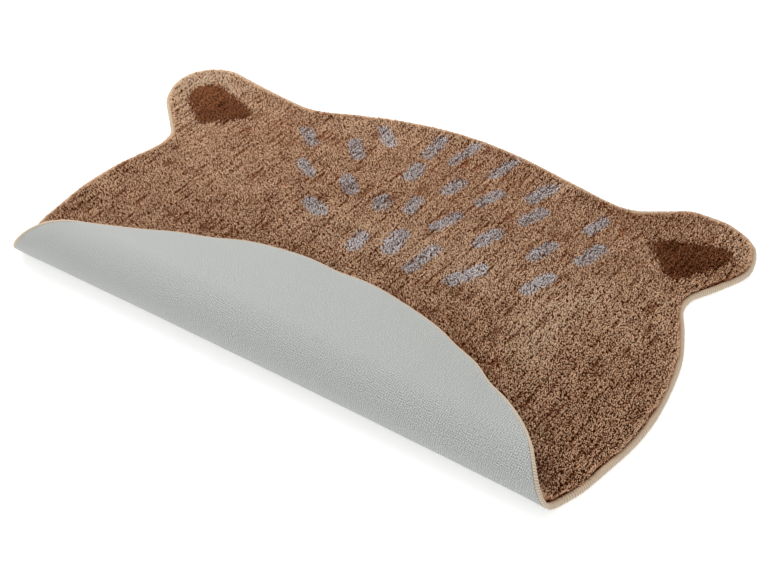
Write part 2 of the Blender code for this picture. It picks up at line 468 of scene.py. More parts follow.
def cloud(x, y, kind):
    """Soft random field at each point: its weight times a value from -1 to 1."""
    places = zip(x / kind.size_x, y / kind.size_y)
    values = [noise.noise(Vector((u, v, kind.layer)), noise_basis="PERLIN_NEW") for u, v in places]
    return kind.weight * np.array(values)


# Meshes, settings and nodes

def finished_mesh(bm, name):
    """A mesh of what a bmesh holds, which is then freed."""
    mesh = bpy.data.meshes.new(name)
    bm.to_mesh(mesh)
    bm.free()
    return mesh


def read_corners(mesh):
    """Corners of a mesh as an array of x, y, z."""
    corners = np.empty(len(mesh.vertices) * 3)
    mesh.vertices.foreach_get("co", corners)
    return corners.reshape(-1, 3)


def write_map(mesh, name, values):
    """Adds a UV map with one pair of values for each face corner."""
    layer = mesh.uv_layers.new(name=name)
    layer.uv.foreach_set("vector", np.ascontiguousarray(values, dtype=np.float32).ravel())


def loop_corners(mesh):
    """Index of the corner that each face corner uses."""
    corners = np.empty(len(mesh.loops), dtype=np.int32)
    mesh.loops.foreach_get("vertex_index", corners)
    return corners


def add_object(name, data):
    """Puts a mesh, light or camera into the scene."""
    item = bpy.data.objects.new(name, data)
    bpy.context.scene.collection.objects.link(item)
    return item


def show(mesh, material):
    """Puts a finished mesh into the scene as a piece that rides on the rug."""
    mesh.materials.append(material)
    piece = add_object(mesh.name, mesh)
    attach(piece, "root")
    return piece


def length_property(name, description, default, low=0.0):
    """A length among a piece's settings."""
    return bpy.props.FloatProperty(
        name=name, description=description, default=default, min=low, unit="LENGTH", precision=4
    )


def colour_property(name, description, hex_colour):
    """A colour among a piece's settings."""
    return bpy.props.FloatVectorProperty(
        name=name, description=description, subtype="COLOR", default=linear(hex_colour)
    )


def feed(tree, node, feeds):
    """Feeds sockets of a node, each with a value or from another node's socket."""
    for name, source in feeds.items():
        if isinstance(source, bpy.types.NodeSocket):
            tree.links.new(source, node.inputs[name])
        else:
            node.inputs[name].default_value = source


def add_node(tree, kind, settings=None, feeds=None):
    """Adds a node with its settings, and feeds its sockets."""
    node = tree.nodes.new(kind)
    for name, value in (settings or {}).items():
        setattr(node, name, value)
    feed(tree, node, feeds or {})
    return node


def add_math(tree, operation, *feeds):
    """Adds a Math node, and gives its result."""
    return add_node(tree, "ShaderNodeMath", {"operation": operation}, dict(enumerate(feeds))).outputs[0]


def add_ridges(tree, along):
    """Adds nodes for rounded ridges, one for each step of 1: 0 in the grooves and 1 on the crests."""
    wave = add_math(tree, "SINE", add_math(tree, "MULTIPLY", along, pi))
    return add_math(tree, "ABSOLUTE", wave)


def add_range(tree, value, old_range, new_range=(0.0, 1.0), interpolation="LINEAR"):
    """Adds a node that takes one range of values to another, and gives its result."""
    feeds = {"Value": value}
    for name, (low, high) in {"From": old_range, "To": new_range}.items():
        feeds.update({f"{name} Min": low, f"{name} Max": high})
    node = add_node(tree, "ShaderNodeMapRange", {"interpolation_type": interpolation}, feeds)
    return node.outputs["Result"]


def add_noise(tree, place, scale, detail, roughness=0.5, dimensions="3D"):
    """Adds a Noise node that reads a place."""
    feeds = {"Vector": place, "Scale": scale, "Detail": detail, "Roughness": roughness}
    return add_node(tree, "ShaderNodeTexNoise", {"noise_dimensions": dimensions}, feeds)


def add_mix(tree, share, first, second):
    """Adds a node that mixes two colours, each a socket or a linear colour, and gives its result."""
    ends = [end if isinstance(end, bpy.types.NodeSocket) else (*end, 1.0) for end in (first, second)]
    feeds = {"Factor": share, "A": ends[0], "B": ends[1]}
    return add_node(tree, "ShaderNodeMix", {"data_type": "RGBA"}, feeds).outputs["Result"]


def finish_cloth(tree, shader, colour, height, strength, depth, roughness, specular):
    """Gives a cloth's shader its colour and bumps, and sets how little it shines."""
    bumps = {"Height": height, "Strength": strength, "Distance": depth}
    normal = add_node(tree, "ShaderNodeBump", feeds=bumps).outputs["Normal"]
    feed(tree, shader, {"Base Color": colour, "Normal": normal})
    feed(tree, shader, {"Roughness": roughness, "Specular IOR Level": specular})


def new_material(name):
    """A material with nothing but its Principled shader and output, with its tree and shader."""
    material = bpy.data.materials.new(name)
    material.use_nodes = True
    return material, material.node_tree, material.node_tree.nodes["Principled BSDF"]


# Cloth layers

# How far past the start of the roll the ripples begin, and over what distance they grow to full height
RIPPLE_START = 30 * MM
RIPPLE_RISE = 50 * MM


def cut(bm, at, normal, only_turned=False):
    """Adds edges where a plane of the pattern crosses the cloth, or only its turned part."""
    faces = [face for face in bm.faces if not only_turned or face.calc_center_median().y > 0]
    edges = {edge for face in faces for edge in face.edges}
    verts = {vert for face in faces for vert in face.verts}
    geometry = list(verts) + list(edges) + faces
    bmesh.ops.bisect_plane(bm, geom=geometry, dist=SNAP, plane_co=at, plane_no=normal)


def cloth_mesh(name, inset, heights, steps, ripple):
    """A closed layer of cloth between two heights, cut in steps across and along the fold, and bent."""
    row_step, column_step = steps
    bm = bmesh.new()
    along, across = to_pattern(*inset_loop(inset).T)
    bm.faces.new([bm.verts.new((*place, 0.0)) for place in zip(along, across)])
    for row in np.arange(0.0, across.max(), row_step):
        cut(bm, (0, row, 0), (0, 1, 0))
    reach = int(abs(along).max() / column_step)
    for i in range(-reach, reach + 1):
        cut(bm, (i * column_step, 0, 0), (1, 0, 0), only_turned=True)
    bmesh.ops.triangulate(bm, faces=bm.faces[:])
    lower = bm.verts[:]
    raised = bmesh.ops.extrude_face_region(bm, geom=bm.faces[:])["geom"]
    upper = [item for item in raised if isinstance(item, bmesh.types.BMVert)]
    for verts, height in zip((lower, upper), heights):
        for vert in verts:
            vert.co.z = height
    bmesh.ops.recalc_face_normals(bm, faces=bm.faces[:])
    mesh = finished_mesh(bm, name)
    flat = read_corners(mesh)
    mesh.vertices.foreach_set("co", bent_with_ripples(*flat.T, ripple).ravel())
    if closed_volume(mesh) < 0:
        mesh.flip_normals()
    mesh.shade_smooth()
    mesh.set_sharp_from_angle(angle=SHARP_ANGLE)
    return mesh, flat


def bent_with_ripples(along, across, height, ripple):
    """Bends points of the pattern, with low waves in the part that is clear of the floor."""
    x, y = to_plan(along, across)
    clear = np.clip((across - RIPPLE_START) / RIPPLE_RISE, 0.0, 1.0)
    wave = cloud(x, y, RIPPLES) + cloud(x, y, SMALL_RIPPLES)
    return bent(along, across, height + ripple * clear * wave)


def closed_volume(mesh):
    """Volume of a closed mesh, below zero where its faces point inwards."""
    bm = bmesh.new()
    bm.from_mesh(mesh)
    volume = bm.calc_volume(signed=True)
    bm.free()
    return volume


class BackingSettings(bpy.types.PropertyGroup):
    """Sizes and colours of the woven backing."""

    thread_pitch: length_property(
        "Thread pitch", "Distance between two threads of the backing", 2.7 * MM, 1.0 * MM
    )
    ripple: length_property("Ripple", "Height of the low waves in the turned part", 0.5 * MM)
    thread_colour: colour_property("Thread", "Colour of the threads", "#E2E4E1")
    # The latex colour is partly painted shade in the gaps between the threads
    latex_and_shade_colour: colour_property("Latex and shade", "Colour of the latex between the threads", "#7C7E7B")


# How the threads wander: the size of the bends, and how far a thread strays, as a share of the pitch
WANDER_SIZE = 9 * MM
WANDER_SHARE = 1.2

# The threads' fibres: how many lie side by side in a thread, and how high they stand beside its height
FIBRES_PER_THREAD = 1.9
FIBRE_HEIGHT = 3.2

# Heights of the weave at which only latex, darkened with painted shade, and only thread shows
LATEX_AND_SHADE_TO_THREAD = (1.3, 3.0)


def backing_material(settings):
    """Woven polypropylene scrim, stuck on with latex: the weave gives a fine matt grain of squares, with
    painted shade on the latex in its gaps.
    """
    material, tree, shader = new_material("woven polypropylene scrim")
    place = add_node(tree, "ShaderNodeUVMap", {"uv_map": "Weave"}).outputs["UV"]
    scale = 1 / settings.thread_pitch
    wander = add_noise(tree, place, 1 / WANDER_SIZE, detail=1.0, dimensions="2D").outputs["Color"]
    strayed = add_node(
        tree,
        "ShaderNodeVectorMath",
        {"operation": "MULTIPLY_ADD"},
        {0: wander, 1: (WANDER_SHARE * settings.thread_pitch,) * 3, 2: place},
    )
    cells = add_node(
        tree,
        "ShaderNodeVectorMath",
        {"operation": "SCALE"},
        {"Vector": strayed.outputs["Vector"], "Scale": scale},
    ).outputs["Vector"]
    split = add_node(tree, "ShaderNodeSeparateXYZ", feeds={"Vector": cells})
    squares = {"Vector": cells, "Scale": 1.0, "Color1": (1, 1, 1, 1), "Color2": (0, 0, 0, 1)}
    over = add_node(tree, "ShaderNodeTexChecker", feeds=squares).outputs["Fac"]
    ridges = {name: add_ridges(tree, split.outputs[axis]) for name, axis in (("A", "X"), ("B", "Y"))}
    weave = add_node(tree, "ShaderNodeMix", {"data_type": "FLOAT"}, {"Factor": over, **ridges})
    fibres = add_noise(
        tree, place, FIBRES_PER_THREAD * scale, detail=2.0, roughness=0.8, dimensions="2D"
    )
    height = add_math(
        tree, "MULTIPLY_ADD", fibres.outputs["Fac"], FIBRE_HEIGHT, weave.outputs["Result"]
    )
    raised = add_range(tree, height, LATEX_AND_SHADE_TO_THREAD)
    colour = add_mix(tree, raised, settings.latex_and_shade_colour, settings.thread_colour)
    finish_cloth(
        tree, shader, colour, height, strength=0.9, depth=0.4 * MM, roughness=0.85, specular=0.25
    )
    return material


# Start and size of each side's room in the bake's square
BAKE_ACROSS = (0.005, 0.99)
BAKE_HIDDEN = (0.005, 0.1)
BAKE_SHOWN = (0.125, 0.87)


def backing_bake_map(x, y, height):
    """Room for each side in one square: most of it for the side that shows, a strip for the other."""
    across = (x - x.min()) / (x.max() - x.min())
    up = (y - y.min()) / (y.max() - y.min())
    across = BAKE_ACROSS[0] + BAKE_ACROSS[1] * across
    hidden, shown = (start + size * up for start, size in (BAKE_HIDDEN, BAKE_SHOWN))
    return np.stack((across, np.where(height > BACKING_TOP / 2, hidden, shown)), axis=-1)


class RUG_OT_make_backing(bpy.types.Operator):
    """Makes the woven backing, one sheet under the whole rug."""

    bl_idname = "rug.make_backing"
    bl_label = "Make the backing"

    def execute(self, context):
        settings = context.scene.rug_backing
        heights = (0.0, BACKING_TOP)
        mesh, flat = cloth_mesh(
            "backing_sheet", BACKING_INSET, heights, steps=(2.6 * MM, 7.0 * MM), ripple=settings.ripple
        )
        corners = flat[loop_corners(mesh)]
        x, y = to_plan(corners[:, 0], corners[:, 1])
        write_map(mesh, "Weave", np.stack((x, y), axis=-1))
        write_map(mesh, "OFBake", backing_bake_map(x, y, corners[:, 2]))
        piece = show(mesh, backing_material(settings))
        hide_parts("backing_cloth")
        return {"FINISHED"}


# Pile

class PileSettings(bpy.types.PropertyGroup):
    """Sizes of the tufts and colours of their yarns."""

    row_pitch: length_property("Row pitch", "Distance between two rows of tufts", 4.0 * MM, 2.0 * MM)
    stitch_pitch: length_property(
        "Stitch pitch", "Distance between two tufts of a row", 3.9 * MM, 2.0 * MM
    )
    yarn_width: length_property("Yarn width", "Width of a cut end of yarn at its widest", 2.05 * MM)
    pile_top: length_property(
        "Pile top", "Height of the tufts' tips above the underside of the rug", 14.0 * MM
    )
    # Tip colours are painted light, root colours painted shade deep between the tufts
    field_lit_tip: colour_property(
        "Field yarn, tips", "Colour of the cut tips over the whole head", "#F7D1AD"
    )
    field_root_in_shade: colour_property(
        "Field yarn, roots", "Colour deep between the tufts over the whole head", "#8B4C22"
    )
    # Painted sheen of the field's tips where the pile is brushed to the light
    field_sheen: colour_property(
        "Field yarn, brushed", "Colour of the tips where the pile is brushed to the light", "#E4CBB0"
    )
    ear_lit_tip: colour_property(
        "Ear yarn, tips", "Colour of the cut tips in the ears' dark patches", "#A26B48"
    )
    ear_root_in_shade: colour_property(
        "Ear yarn, roots", "Colour deep between the tufts in the ears' dark patches", "#542715"
    )
    dash_lit_tip: colour_property("Dash yarn, tips", "Colour of the cut tips in the dashes", "#ECE4E4")
    dash_root_in_shade: colour_property(
        "Dash yarn, roots", "Colour deep between the tufts in the dashes", "#8F786A"
    )


PILE_SEED = 11
FIELD_PIECES = 5

# Rows of stitches: their angle, and how far they run past the outline and end inside the pile's edge
ROW_LEAN = radians(8)
ROW_MARGIN = 50 * MM
ROW_INSET = 1.0 * MM

# How far a tuft strays along and across its row, as a share of the pitch
STRAY_ALONG = 0.3
STRAY_ACROSS = 0.12

# The last row follows the rim, with its stitches closer together by this share
LAST_ROW_INSET = 0.6 * MM
LAST_ROW_PITCH = 0.6

# A tuft's ends of yarn stand in a ring: its radius as a share of the stitch pitch, and how that varies
ENDS_PER_TUFT = 4
RING_SHARE = 0.32
RING_RANGE = (0.7, 1.3)

# An end of yarn: its sides, the share of its height at which it is widest, how its width varies, the
# power of its height by which it leans, and its radius in a square of the bake's picture
YARN_SIDES = 3
SHOULDER = 0.78
WIDTH_RANGE = (0.75, 1.25)
LEAN_POWER = 1.4
BAKE_RADIUS = 0.45

# Spreads of the ends' lengths and tones
LENGTH_SPREAD = 0.8 * MM
TUFT_TONE_SPREAD = 0.10
END_TONE_SPREAD = 0.32
LEAST_TONE = 0.15

# Most lean of brushed ends, and spread of each end's own lean, in millimetres
BRUSHED_LEAN = 2.0
OWN_LEAN = 0.9

# Where the pile parts between rows, it is lower, and painted darker for the shade down in the parting
PARTING_START = 0.3
PARTING_DROP = 3.0 * MM
PARTING_SHADE = 0.55

# On the turned part, or this far under it, the pile is out of sight: sparser and of wider ends
HIDDEN_FROM = 40 * MM
HIDDEN_ENDS_PER_TUFT = 2
HIDDEN_WIDTH = 1.5
HIDDEN_SPLAY = 0.5

# How far tufts of the ear patches and the dashes stray over their outlines, in millimetres
EAR_STRAY = 3.2
DASH_STRAY = 1.7

# Fibres are far finer than this, but no finer clump of them shows in the render
FIBRE_SIZE = 0.85 * MM
CLUMP_SIZE = 4.0 * MM

# Heights and tones between which the yarn turns from painted shade at the roots to painted light at the
# tips and on single fibres, tones at which a painted sheen pales it, and how much painted shade darkens
# it at the pile's foot
ROOT_TO_TIP = (0.55, 1.0)
DARK_TO_LIT_FIBRE = (0.32, 0.68)
FIBRE_TONES = (0.1, 1.8)
PLAIN_TO_SHEEN = (1.2, 2.4)
DEEP_SHADE = 0.45

# Towards the edge of the pile nothing holds the tufts up, and they flop over the whipped edge
RIM_REACH = 9.0 * MM
RIM_LEAN = 2.8 * MM
RIM_DROP = 2.8 * MM
RIM_EVENNESS = 0.6


def yarn_template():
    """One end of yarn, of unit height and width, and how its faces lie in the maps."""
    bm = bmesh.new()
    bmesh.ops.create_cone(
        bm, cap_ends=True, segments=YARN_SIDES, radius1=0.0, radius2=0.5, depth=SHOULDER
    )
    bmesh.ops.translate(bm, verts=bm.verts[:], vec=(0, 0, SHOULDER / 2))
    crown = max(bm.faces, key=lambda face: face.calc_center_median().z)
    tip = bmesh.ops.poke(bm, faces=[crown])["verts"][0]
    tip.co.z = 1.0
    bm.verts.index_update()
    corners = np.array([vert.co for vert in bm.verts])
    loops, starts, strands, bake = [], [], [], []
    for face in bm.faces:
        starts.append(len(loops))
        middle = face.calc_center_median()
        facing = atan2(middle.y, middle.x)
        for vert in face.verts:
            pole = hypot(vert.co.x, vert.co.y) < SNAP
            turn = 0.0 if pole else (atan2(vert.co.y, vert.co.x) - facing + pi) % (2 * pi) - pi
            around, out = facing + turn, BAKE_RADIUS * (1 - vert.co.z)
            loops.append(vert.index)
            strands.append((around / (2 * pi) + 0.5, vert.co.z))
            bake.append((0.5 + out * cos(around), 0.5 + out * sin(around)))
    bm.free()
    return Template(corners, np.array(loops), np.array(starts), np.array(strands), np.array(bake))


def rim_splay(x, y):
    """Outward lean of each tuft as a share, from 0 inside the rim to 1 at the edge of the pile."""
    outer = belt_points(OUTLINE, TEST_SAG)
    edge = outer[:, :2] - PILE_INSET * outer[:, 2:]
    near = ~inside(x, y, outer[:, :2] - (PILE_INSET + RIM_REACH) * outer[:, 2:])
    lean = np.zeros((len(x), 2))
    gaps = np.hypot(x[near, None] - edge[:, 0], y[near, None] - edge[:, 1])
    share = np.clip(1 - gaps.min(axis=1) / RIM_REACH, 0.0, 1.0)
    lean[near] = outer[gaps.argmin(axis=1), 2:] * share[:, None]
    return lean


def stitches(settings, random):
    """Where the needle sets a tuft: rows of stitches over the whole flat cloth."""
    rim = inset_loop(PILE_INSET + ROW_INSET, TEST_SAG)
    low_x, low_y = rim.min(axis=0) - ROW_MARGIN
    high_x, high_y = rim.max(axis=0) + ROW_MARGIN
    along_row = np.arange(low_y, high_y, settings.stitch_pitch)
    found = []
    for i, row in enumerate(np.arange(low_x, high_x, settings.row_pitch)):
        strayed = 0.5 * (i % 2) + random.uniform(-STRAY_ALONG, STRAY_ALONG, len(along_row))
        y = along_row + settings.stitch_pitch * strayed
        x = row + (y - (low_y + high_y) / 2) * sin(ROW_LEAN)
        x += settings.row_pitch * random.normal(0, STRAY_ACROSS, len(y))
        found.append(np.stack((x, y))[:, inside(x, y, rim)])
    count = round(even_outline(1)[0] / (LAST_ROW_PITCH * settings.stitch_pitch))
    last = even_outline(count)[1][:-1]
    found.append((last[:, :2] - (PILE_INSET + LAST_ROW_INSET) * last[:, 2:]).T)
    return np.concatenate(found, axis=1)


def out_of_sight(x, y):
    """Which tufts stand on the turned part or well under it, where they can be sparser."""
    along, across = to_pattern(x, y)
    reach = roll_section(np.interp(along, TURNED_ALONG, TURNED_ACROSS))[0]
    return (across > 0.0) | (across > reach + HIDDEN_FROM)


def tone_with_sheen_and_shade(x, y):
    """How much lighter the pile is painted at each point: its random tone, and the patches' painted
    sheen, shade and shadow.
    """
    lighter = cloud(x, y, TONES) + cloud(x, y, SMALL_TONES)
    for patch in SHEEN_AND_SHADE_PATCHES:
        out_x = (x - patch.x * CM) / (patch.size_x * CM)
        out_y = (y - patch.y * CM) / (patch.size_y * CM)
        lighter = lighter + patch.lighter * np.exp(-(out_x**2) - out_y**2)
    return lighter


def lay_tufts(settings):
    """All ends of yarn: where each stands on the flat cloth, its size, its lean and its tone."""
    random = np.random.default_rng(PILE_SEED)
    x, y = stitches(settings, random)
    hidden = out_of_sight(x, y)
    first = random.uniform(0, 2 * pi, len(x))
    tuft_tone = random.normal(0, TUFT_TONE_SPREAD, len(x))
    ends = np.where(hidden, HIDDEN_ENDS_PER_TUFT, ENDS_PER_TUFT)
    tuft, end = np.nonzero(np.arange(ENDS_PER_TUFT) < ends[:, None])
    count, hidden = len(tuft), hidden[tuft]
    apart = first[tuft] + 2 * pi * end / ends[tuft]
    ring = RING_SHARE * settings.stitch_pitch * random.uniform(*RING_RANGE, count)
    x, y = x[tuft] + ring * np.cos(apart), y[tuft] + ring * np.sin(apart)
    splay = rim_splay(x, y) * np.where(hidden, HIDDEN_SPLAY, 1.0)[:, None]
    rim = np.hypot(*splay.T)
    even = 1 - RIM_EVENNESS * rim
    across_rows = x - y * sin(ROW_LEAN)
    parting = np.clip(-cloud(across_rows, y, PARTINGS) - PARTING_START, 0.0, 1.0)
    own_tone = random.normal(0, END_TONE_SPREAD, count)
    # Tone: random, with the painted sheen, shade and shadow of the patches
    tone = np.maximum(1.0 + tone_with_sheen_and_shade(x, y) + tuft_tone[tuft] + own_tone, LEAST_TONE)
    drop = PARTING_DROP * parting + RIM_DROP * rim**2
    top = settings.pile_top + LENGTH_SPREAD * random.normal(0, 1, count) * even - drop
    wider = np.where(hidden, HIDDEN_WIDTH, 1.0)
    width = settings.yarn_width * random.uniform(*WIDTH_RANGE, count) * wider
    turn = random.uniform(0, 2 * pi, count)
    brushed_x = cloud(x, y, LEAN_SIDEWAYS) + cloud(across_rows, y, LEAN_BY_ROW)
    lean_x = BRUSHED_LEAN * brushed_x + OWN_LEAN * random.normal(0, 1, count)
    lean_y = BRUSHED_LEAN * cloud(x, y, LEAN_AWAY) + OWN_LEAN * random.normal(0, 1, count)
    return Tufts(
        x=x,
        y=y,
        top=top,
        width=width,
        turn=turn,
        lean_x=RIM_LEAN * splay[:, 0] + lean_x * MM * even,
        lean_y=RIM_LEAN * splay[:, 1] + lean_y * MM * even,
        # Painted shade in the partings
        tone=tone * (1 - PARTING_SHADE * parting),
    )


def in_ear_patch(x, y):
    """Which tufts stand in the dark patch of either ear."""
    patches = [belt_points(patch, TEST_SAG)[:, :2] for patch in (RIGHT_EAR_PATCH, LEFT_EAR_PATCH)]
    return inside(x, y, patches[0]) | inside(x, y, patches[1])


def in_dash(x, y):
    """Which tufts stand in one of the dashes."""
    found = np.zeros(len(x), dtype=bool)
    for dash in DASHES:
        lean = radians(dash.lean)
        out_x, out_y = x - dash.x * CM, y - dash.y * CM
        lengthwise = out_x * sin(lean) + out_y * cos(lean)
        sideways = out_x * cos(lean) - out_y * sin(lean)
        straight = (dash.length - dash.width) / 2 * CM
        past = np.maximum(abs(lengthwise) - straight, 0.0)
        found |= np.hypot(past, sideways) < DASH_FILL * dash.width / 2 * CM
    return found


def joined_tufts(name, tufts, template):
    """One mesh of all these ends of yarn, each a copy of the template, bent over the roll."""
    count, size = len(tufts.x), len(template.corners)
    part_x, part_y, part_up = template.corners.T
    width, turn = tufts.width[:, None], tufts.turn[:, None]
    leaning = part_up**LEAN_POWER
    x = tufts.x[:, None] + width * (np.cos(turn) * part_x - np.sin(turn) * part_y)
    y = tufts.y[:, None] + width * (np.sin(turn) * part_x + np.cos(turn) * part_y)
    x += tufts.lean_x[:, None] * leaning
    y += tufts.lean_y[:, None] * leaning
    height = TUFT_FOOT + (tufts.top[:, None] - TUFT_FOOT) * part_up
    mesh = bpy.data.meshes.new(name)
    mesh.vertices.add(count * size)
    mesh.vertices.foreach_set("co", bent(*to_pattern(x, y), height).ravel())
    loops = (template.loops + size * np.arange(count)[:, None]).ravel()
    starts = (template.starts + len(template.loops) * np.arange(count)[:, None]).ravel()
    mesh.loops.add(len(loops))
    mesh.polygons.add(len(starts))
    mesh.polygons.foreach_set("loop_start", starts)
    mesh.polygons.foreach_set("vertices", loops)
    mesh.update(calc_edges=True)
    mesh.shade_smooth()
    tone = mesh.attributes.new("tone", "FLOAT", "POINT")
    tone.data.foreach_set("value", np.repeat(tufts.tone, size).astype(np.float32))
    write_map(mesh, "Strands", np.tile(template.strands, (count, 1)))
    write_map(mesh, "OFBake", bake_cells(count, template))
    return mesh


def bake_cells(count, template):
    """A square of the bake's picture for each end of yarn: its tip in the middle, its foot around."""
    cells = ceil(count**0.5)
    column, row = np.arange(count) % cells, np.arange(count) // cells
    corner = np.stack((column, row), axis=-1)[:, None, :]
    return ((corner + template.bake) / cells).reshape(-1, 2)


def yarn_material(name, lit_tip_colour, shaded_root_colour, sheen_colour):
    """Cut pile of bulked polyester yarn: matt, with pale tips in painted light over redder, darker roots
    in painted shade, and a paler painted sheen where it is brushed to the light."""
    material, tree, shader = new_material(name)
    strands = add_node(tree, "ShaderNodeUVMap", {"uv_map": "Strands"}).outputs["UV"]
    up = add_node(tree, "ShaderNodeSeparateXYZ", feeds={"Vector": strands}).outputs["Y"]
    tone = add_node(tree, "ShaderNodeAttribute", {"attribute_name": "tone"}).outputs["Fac"]
    place = add_node(tree, "ShaderNodeTexCoord").outputs["Object"]
    fibres = add_noise(tree, place, 1 / FIBRE_SIZE, detail=1.0).outputs["Fac"]
    # Painted shade deep in the pile: the roots darker and redder, the tips paler in painted light
    tip = add_range(tree, up, ROOT_TO_TIP, interpolation="SMOOTHSTEP")
    # Painted light and shade on single fibres, as each catches the light or lies in shade
    lit = add_range(tree, fibres, DARK_TO_LIT_FIBRE, FIBRE_TONES)
    share = add_math(tree, "MULTIPLY", add_math(tree, "MULTIPLY", tip, tone), lit)
    colour = add_mix(tree, share, shaded_root_colour, lit_tip_colour)
    # Painted sheen: paler, greyer tips where the pile is brushed to the light
    with_sheen = add_mix(tree, add_range(tree, tone, PLAIN_TO_SHEEN), colour, sheen_colour)
    finish_cloth(
        tree, shader, with_sheen, fibres, strength=0.7, depth=0.5 * MM, roughness=0.95, specular=0.03
    )
    return material


def ground_material(settings):
    """Yarn packed at the pile's foot, painted dark and reddish with shade, so that gaps between tufts
    look deep.
    """
    material, tree, shader = new_material("packed yarn at the pile's foot, in painted shade")
    place = add_node(tree, "ShaderNodeTexCoord").outputs["Object"]
    clumps = add_noise(tree, place, 1 / CLUMP_SIZE, detail=2.0).outputs["Fac"]
    # Painted shade: the root colour darkened
    deep = [DEEP_SHADE * share for share in settings.field_root_in_shade]
    colour = add_mix(tree, clumps, deep, settings.field_root_in_shade)
    finish_cloth(
        tree, shader, colour, clumps, strength=0.8, depth=1.0 * MM, roughness=1.0, specular=0.1
    )
    return material


class RUG_OT_make_pile(bpy.types.Operator):
    """Makes the pile: its ground, and the tufts of the field, the ear patches and the dashes."""

    bl_idname = "rug.make_pile"
    bl_label = "Make the pile"

    def execute(self, context):
        settings = context.scene.rug_pile
        heights = (GROUND_FOOT, GROUND_TOP)
        mesh, _ = cloth_mesh(
            "pile_ground", PILE_INSET, heights, steps=(5.0 * MM, 50.0 * MM), ripple=0.0
        )
        ground = show(mesh, ground_material(settings))
        template = yarn_template()
        tufts = lay_tufts(settings)
        random = np.random.default_rng(PILE_SEED + 1)
        strayed_x, strayed_y = random.normal(0, 1.0, (2, len(tufts.x))) * MM
        ears = in_ear_patch(tufts.x + EAR_STRAY * strayed_x, tufts.y + EAR_STRAY * strayed_y)
        dashes = in_dash(tufts.x + DASH_STRAY * strayed_x, tufts.y + DASH_STRAY * strayed_y) & ~ears
        field = np.flatnonzero(~ears & ~dashes)
        field = field[np.argsort(tufts.x[field], kind="stable")]
        parts = np.array_split(field, FIELD_PIECES)
        groups = [(f"pile_tufts_{i + 1}", part, "field") for i, part in enumerate(parts)]
        groups += [("ear_patch_tufts", ears, "ears"), ("dash_tufts", dashes, "dashes")]
        yarns = {
            "field": ("warm brown", settings.field_lit_tip, settings.field_root_in_shade, settings.field_sheen),
            "ears": ("dark brown", settings.ear_lit_tip, settings.ear_root_in_shade, settings.ear_lit_tip),
            "dashes": ("grey lilac", settings.dash_lit_tip, settings.dash_root_in_shade, settings.dash_lit_tip),
        }
        materials = {
            yarn: yarn_material(f"cut pile yarn, {look}", *colours)
            for yarn, (look, *colours) in yarns.items()
        }
        pieces = []
        for name, chosen, yarn in groups:
            group = Tufts(*(values[chosen] for values in tufts))
            pieces.append(show(joined_tufts(name, group, template), materials[yarn]))
        for piece in (ground, *pieces):
            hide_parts("pile_cloth")
        return {"FINISHED"}


# Whipped edge

class EdgeSettings(bpy.types.PropertyGroup):
    """Sizes and colours of the whipped edge."""

    turn_pitch: length_property(
        "Turn pitch", "Distance between two turns of the whipping yarn", 3.3 * MM, 1.0 * MM
    )
    rib_height: length_property(
        "Rib height", "How far a turn of yarn stands out from the groove beside it", 0.9 * MM
    )
    yarn_colour: colour_property("Edge yarn", "Colour of the whipping yarn", "#D9C7B1")
    # The fluff colour is partly the pile's clinging fibres and partly painted shade next to the pile
    fluff_and_shade_colour: colour_property(
        "Fluff and shade", "Colour of the pile's fibres that cling to the edge's inner side", "#C09D7C"
    )


EDGE_SEED = 5
STEPS_PER_TURN = 4

# How full each turn of yarn is, and the share of a rib's height that lies within the section
FULLNESS_RANGE = (0.7, 1.15)
RIB_SUNK = 0.6

# The bake's picture holds the ring in strips, each with a little room beside it
BAKE_STRIPS = 12
STRIP_MARGIN = 0.02

# Fibres to a turn of yarn and round the section, and how its ridges and their noise become tones, with
# painted shade in the grooves
FIBRES_PER_TURN = (5.0, 14.0, 1.0)
RIDGE_RANGE = (0.0, 0.95)
NOISE_RANGE = (0.3, 0.7)
GROOVE_SHADE_TO_CREST = (0.6, 1.0)
FUZZ_TONES = (0.85, 1.1)

# Shares of the way round the section between which fluff and painted shade next to the pile appear, and
# how much of them there is
OUTER_TO_INNER = (0.40, 0.74)
MOST_FLUFF_AND_SHADE = 0.9


def even_outline(count):
    """The outline and its outward normals, at even steps all the way round and back to the start."""
    belt = belt_points(OUTLINE, FINE_SAG)
    belt = np.vstack((belt, belt[:1]))
    gaps = np.hypot(*np.diff(belt[:, :2], axis=0).T)
    length = np.concatenate(([0.0], np.cumsum(gaps)))
    steps = np.linspace(0.0, 1.0, count + 1) * length[-1]
    return length[-1], np.stack([np.interp(steps, length, column) for column in belt.T], axis=-1)


def section_outward():
    """Outward direction of the whipped edge's section at each of its corners, as inset and height."""
    corners = np.array([(corner.inset, corner.height) for corner in EDGE_SECTION]) * MM
    along = np.roll(corners, -1, axis=0) - np.roll(corners, 1, axis=0)
    along /= np.hypot(*along.T)[:, None]
    return corners, np.stack((-along[:, 1], along[:, 0]), axis=-1)


